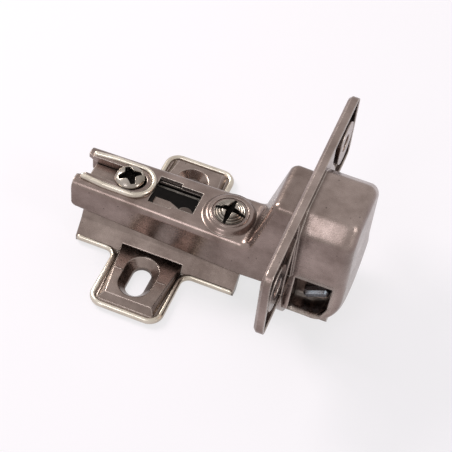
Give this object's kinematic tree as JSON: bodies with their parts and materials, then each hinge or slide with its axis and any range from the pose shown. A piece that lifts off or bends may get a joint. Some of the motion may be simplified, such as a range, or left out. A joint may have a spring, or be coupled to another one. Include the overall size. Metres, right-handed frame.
{
  "type": "furniture hinge",
  "caption": "Concealed cup hinge for an inset cabinet door, with a cranked slide-on arm, a two-slot wing plate, a flanged door cup and links between arm and cup.",
  "frame": {"origin": "middle of the line between the mounting plate's two slots, on the plate's underside", "axes": "+Z out of the cabinet side the plate is screwed to, +X along the arm towards the door cup, Y the pivots' axis"},
  "size_m": [0.0711, 0.0624, 0.0391],
  "materials": {
    "nickel_plate": "satin nickel plated stamped steel",
    "nickel_arm": "satin nickel plated stamped steel",
    "nickel_cup": "satin nickel plated drawn steel",
    "screw": "bright nickel plated",
    "zinc": "bright zinc plated",
    "spring_steel": "oiled spring steel"
  },
  "bodies": {
    "plate": {"mounting_plate": "nickel_plate"},
    "fixing": {"fixing_screw": "screw"},
    "arm": {"hinge_arm": "nickel_arm", "arm_pin_outer": "nickel_arm", "arm_pin_inner": "nickel_arm", "closing_spring": "spring_steel"},
    "side_adjuster": {"side_screw": "screw"},
    "link_outer": {"outer_link": "nickel_arm"},
    "link_inner": {"inner_link": "nickel_arm"},
    "cup": {"hinge_cup": "nickel_cup", "cup_pin": "zinc", "cup_stub": "zinc"}
  },
  "joints": [
    {"name": "depth_slide", "type": "slide", "parent": "plate", "child": "arm", "axis": [1, 0, 0], "range_m": [-0.0015, 0.002]},
    {"name": "fixing_turn", "type": "hinge", "parent": "plate", "child": "fixing", "pos_m": [-0.0098, 0, 0.018], "axis": [0, 0, 1], "continuous": true},
    {"name": "side_turn", "type": "hinge", "parent": "arm", "child": "side_adjuster", "pos_m": [0.0163, 0, 0.017], "axis": [0, 0, 1], "continuous": true},
    {"name": "door_swing", "type": "hinge", "parent": "arm", "child": "link_outer", "pos_m": [0.0342, 0, 0.0238], "axis": [0, -1, 0], "range_deg": [0, 45.16]},
    {"name": "cup_turn", "type": "hinge", "parent": "link_outer", "child": "cup", "pos_m": [0.0403, 0, 0.0108], "axis": [0, 1, 0], "range_deg": [0, 140.17]},
    {"name": "inner_swing", "type": "hinge", "parent": "arm", "child": "link_inner", "pos_m": [0.041, 0, 0.0314], "axis": [0, -1, 0], "range_deg": [0, 17.1]}
  ],
  "couplings": [
    {"joint": "cup_turn", "follows": "door_swing", "ratio": 3.1035},
    {"joint": "inner_swing", "follows": "door_swing", "ratio": 0.37849}
  ]
}
